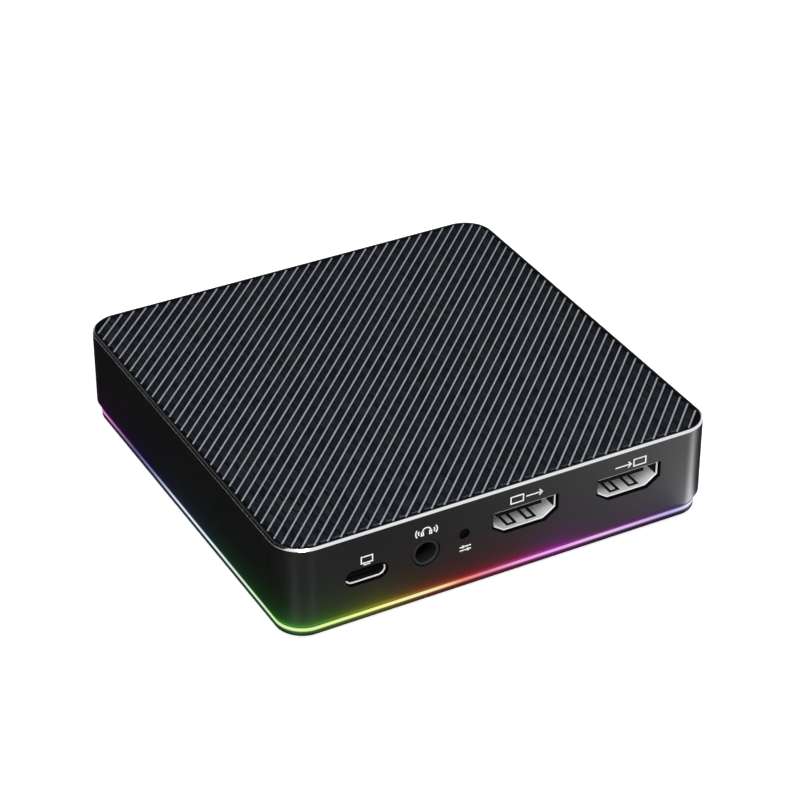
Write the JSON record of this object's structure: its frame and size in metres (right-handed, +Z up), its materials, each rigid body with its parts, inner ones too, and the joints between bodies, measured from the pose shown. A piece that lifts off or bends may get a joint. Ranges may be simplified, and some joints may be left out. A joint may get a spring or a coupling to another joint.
{
  "type": "video capture box",
  "caption": "Flat square video capture box with rounded corners, ribbed top panel, glowing ring above its base and a front row of video, host and audio ports.",
  "frame": {"origin": "centre of the surface that the feet stand on, under the middle of the case", "axes": "+Z up, +X along the port face from host port to video input, -Y out of the port face"},
  "size_m": [0.1, 0.1, 0.023],
  "materials": {
    "shell_black": "black satin anodised, with a bright cut bevel round the rim",
    "panel_dark": "dark blue-black fine weave with silver ribs",
    "glue_sheet": "adhesive sheet",
    "ring_light": "milky light guide, lit in rainbow colours",
    "base_black": "black fine texture",
    "foot_rubber": "dark grey rubber",
    "screw_steel": "plated steel",
    "board_green": "green solder mask",
    "light_board_white": "white solder mask",
    "lamp_white": "lamp body",
    "port_metal": "bright nickel-plated sheet",
    "insulator_black": "black moulding",
    "contact_gold": "gold-plated",
    "ferrule_black": "black gloss",
    "button_black": "black gloss",
    "plunger_white": "white moulding",
    "chip_black": "black moulded package",
    "pad_grey": "soft thermal pad",
    "sink_grey": "dark anodised",
    "can_silver": "bright can",
    "coil_grey": "moulded ferrite",
    "cap_tan": "fired ceramic"
  },
  "bodies": {
    "case": {"body_shell": "shell_black", "top_panel": "panel_dark", "panel_glue": "glue_sheet", "light_ring": "ring_light", "base_plate": "base_black", "foot_front_left": "foot_rubber", "foot_front_right": "foot_rubber", "foot_rear_left": "foot_rubber", "foot_rear_right": "foot_rubber", "base_screws": "screw_steel", "light_board": "light_board_white", "light_leds": "lamp_white", "light_driver": "chip_black", "link_block": "insulator_black", "link_pins": "contact_gold", "main_board": "board_green", "board_screws": "screw_steel", "video_out_shell": "port_metal", "video_out_insulator": "insulator_black", "video_out_contacts": "contact_gold", "video_in_shell": "port_metal", "video_in_insulator": "insulator_black", "video_in_contacts": "contact_gold", "host_port_shell": "port_metal", "host_port_insulator": "insulator_black", "host_port_contacts": "contact_gold", "jack_body": "insulator_black", "jack_ferrule": "ferrule_black", "jack_contacts": "contact_gold", "mix_switch_body": "insulator_black", "mix_switch_cover": "port_metal", "mix_dome": "screw_steel", "mix_terminals": "screw_steel", "capture_chip": "chip_black", "thermal_pad": "pad_grey", "heat_sink": "sink_grey", "video_chips": "chip_black", "memory_chips": "chip_black", "bridge_chip": "chip_black", "audio_chip": "chip_black", "flash_chip": "chip_black", "crystals": "can_silver", "power_coils": "coil_grey", "power_capacitors": "can_silver", "small_capacitors": "cap_tan"},
    "mix_key": {"mix_button": "button_black", "mix_plunger": "plunger_white"}
  },
  "joints": [
    {"name": "mix_press", "type": "slide", "parent": "case", "child": "mix_key", "axis": [0, 1, 0], "range_m": [0, 0.0003], "stiffness_N_per_m": 1500, "springref_m": -0.0004, "deforming": ["mix_dome"]}
  ]
}
